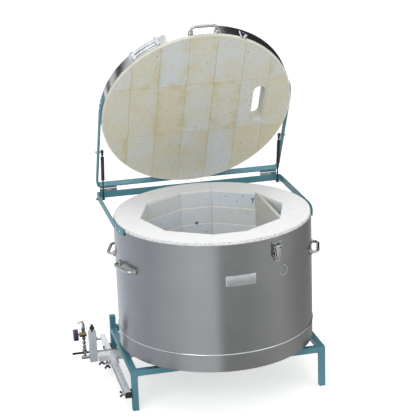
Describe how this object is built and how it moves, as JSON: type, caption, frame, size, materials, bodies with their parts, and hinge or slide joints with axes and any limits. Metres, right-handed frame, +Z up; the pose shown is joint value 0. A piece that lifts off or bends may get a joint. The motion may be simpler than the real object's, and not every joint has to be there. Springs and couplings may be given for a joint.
{
  "type": "gas kiln",
  "caption": "Round top-loading gas kiln: brick chamber in a steel casing on a tube stand, hinged brick lid held open by gas struts, and a burner set sliding on a side rail.",
  "frame": {"origin": "middle of the footprint's box on the floor", "axes": "+Z up, +Y to the back where the lid hinges, +X to the right as the picture shows it"},
  "size_m": [1.0382, 0.8727, 1.5221],
  "materials": {
    "teal_paint": "satin teal paint on steel tube and bar",
    "stainless": "satin stainless sheet",
    "polished_steel": "polished or plated steel",
    "galvanised": "zinc plated sheet and tube",
    "firebrick": "porous insulating brick",
    "white_fibre": "matt white ceramic fibre",
    "port_ceramic": "fired ceramic",
    "black_plastic": "matt black plastic",
    "black_wire": "dark oxidised wire",
    "black_paint": "satin black paint",
    "brass": "turned brass",
    "knob_plastic": "moulded dark purple plastic",
    "cast_iron": "bare cast iron",
    "copper": "bare copper capillary"
  },
  "bodies": {
    "kiln": {"stand_legs": "teal_paint", "stand_rails": "teal_paint", "stand_bearers": "teal_paint", "leg_plugs": "teal_paint", "rear_frame": "teal_paint", "floor_pan": "stainless", "casing": "stainless", "seam_bead": "polished_steel", "side_handles": "polished_steel", "rear_frame_screws": "polished_steel", "hinge_leaves_lower": "polished_steel", "strut_studs_lower": "polished_steel", "latch_base": "polished_steel", "burner_rail": "galvanised", "floor_bricks": "firebrick", "course_1": "firebrick", "course_2": "firebrick", "course_3": "firebrick", "course_4": "firebrick", "course_5": "firebrick", "course_6": "firebrick", "baffle_props": "firebrick", "floor_board": "white_fibre", "blanket": "white_fibre", "collar": "white_fibre", "baffle_board": "white_fibre", "peephole_sleeve": "port_ceramic", "probe_sleeve": "port_ceramic", "latch_block": "black_plastic", "rail_fixings": "black_plastic", "baffle_clips": "black_wire"},
    "lid": {"lid_bricks": "firebrick", "lid_rim": "white_fibre", "lid_band": "polished_steel", "band_clamp": "polished_steel", "lid_frame": "teal_paint", "lid_frame_screws": "polished_steel", "lid_handle": "polished_steel", "latch_keeper": "polished_steel", "hinge_leaves_upper": "polished_steel", "strut_studs_upper": "polished_steel"},
    "burner_set": {"burner_bracket": "galvanised", "valve_plate": "galvanised", "gas_valves": "polished_steel", "burner_pipe": "polished_steel", "burner": "cast_iron", "sensor_lead": "copper"},
    "strut_rod_left": {"strut_rod_left": "black_paint"},
    "strut_rod_right": {"strut_rod_right": "black_paint"},
    "strut_cylinder_left": {"strut_cylinder_left": "black_paint"},
    "strut_cylinder_right": {"strut_cylinder_right": "black_paint"},
    "latch_lever": {"latch_lever": "polished_steel"},
    "latch_bail": {"latch_bail": "polished_steel"},
    "peephole_plug": {"peephole_plug": "port_ceramic"},
    "gas_knob": {"gas_knob": "knob_plastic"},
    "gas_lever": {"gas_lever": "brass"},
    "push_button": {"push_button": "black_plastic"},
    "rail_wing_screw": {"rail_wing_screw": "polished_steel"},
    "strap_wing_screw": {"strap_wing_screw": "polished_steel"},
    "plate_wing_screw": {"plate_wing_screw": "polished_steel"}
  },
  "joints": [
    {"name": "lid_hinge", "type": "hinge", "parent": "kiln", "child": "lid", "pos_m": [0.08321, 0.39612, 0.758], "axis": [1, 0, 0], "range_deg": [0, 61.5]},
    {"name": "strut_swing_left", "type": "hinge", "parent": "kiln", "child": "strut_rod_left", "pos_m": [-0.30879, 0.35712, 0.728], "axis": [1, 0, 0], "range_deg": [0, 62.4]},
    {"name": "strut_stroke_left", "type": "slide", "parent": "strut_rod_left", "child": "strut_cylinder_left", "axis": [0, -0.172, 0.9851], "range_m": [-0.0503, 0]},
    {"name": "strut_swing_right", "type": "hinge", "parent": "kiln", "child": "strut_rod_right", "pos_m": [0.47521, 0.35712, 0.728], "axis": [1, 0, 0], "range_deg": [0, 62.4]},
    {"name": "strut_stroke_right", "type": "slide", "parent": "strut_rod_right", "child": "strut_cylinder_right", "axis": [0, -0.172, 0.9851], "range_m": [-0.0503, 0]},
    {"name": "latch_lever_swing", "type": "hinge", "parent": "kiln", "child": "latch_lever", "pos_m": [0.25363, -0.40666, 0.701], "axis": [-0.9135, -0.4067, 0], "range_deg": [0, 150]},
    {"name": "latch_bail_swing", "type": "hinge", "parent": "kiln", "child": "latch_bail", "pos_m": [0.25363, -0.40666, 0.701], "axis": [-0.9135, -0.4067, 0], "range_deg": [0, 178]},
    {"name": "peephole_pull", "type": "slide", "parent": "kiln", "child": "peephole_plug", "axis": [0.4924, -0.8704, 0], "range_m": [0, 0.09]},
    {"name": "burner_slide", "type": "slide", "parent": "kiln", "child": "burner_set", "axis": [0, 1, 0], "range_m": [-0.3, 0.05]},
    {"name": "gas_knob_turn", "type": "hinge", "parent": "burner_set", "child": "gas_knob", "pos_m": [-0.49709, 0.12612, 0.2045], "axis": [1, 0, 0], "range_deg": [0, 270]},
    {"name": "gas_lever_turn", "type": "hinge", "parent": "burner_set", "child": "gas_lever", "pos_m": [-0.46309, 0.11212, 0.1265], "axis": [0, 1, 0], "range_deg": [0, 90]},
    {"name": "push_button_press", "type": "slide", "parent": "burner_set", "child": "push_button", "axis": [0, 0, -1], "range_m": [0, 0.006], "stiffness_N_per_m": 900},
    {"name": "rail_screw_turn", "type": "hinge", "parent": "kiln", "child": "rail_wing_screw", "pos_m": [-0.35979, -0.24238, 0.0785], "axis": [1, 0, 0], "range_deg": [0, 270]},
    {"name": "strap_screw_turn", "type": "hinge", "parent": "burner_set", "child": "strap_wing_screw", "pos_m": [-0.37079, 0.10762, 0.056], "axis": [0, 0, 1], "range_deg": [0, 270]},
    {"name": "plate_screw_turn", "type": "hinge", "parent": "burner_set", "child": "plate_wing_screw", "pos_m": [-0.39479, 0.10762, 0.08], "axis": [0, 0, 1], "range_deg": [0, 270]}
  ],
  "couplings": [
    {"joint": "strut_swing_left", "follows": "lid_hinge", "ratio": 1.0145},
    {"joint": "strut_stroke_left", "follows": "lid_hinge", "m_per_rad": -0.046788},
    {"joint": "strut_swing_right", "follows": "lid_hinge", "ratio": 1.0145},
    {"joint": "strut_stroke_right", "follows": "lid_hinge", "m_per_rad": -0.046788}
  ]
}
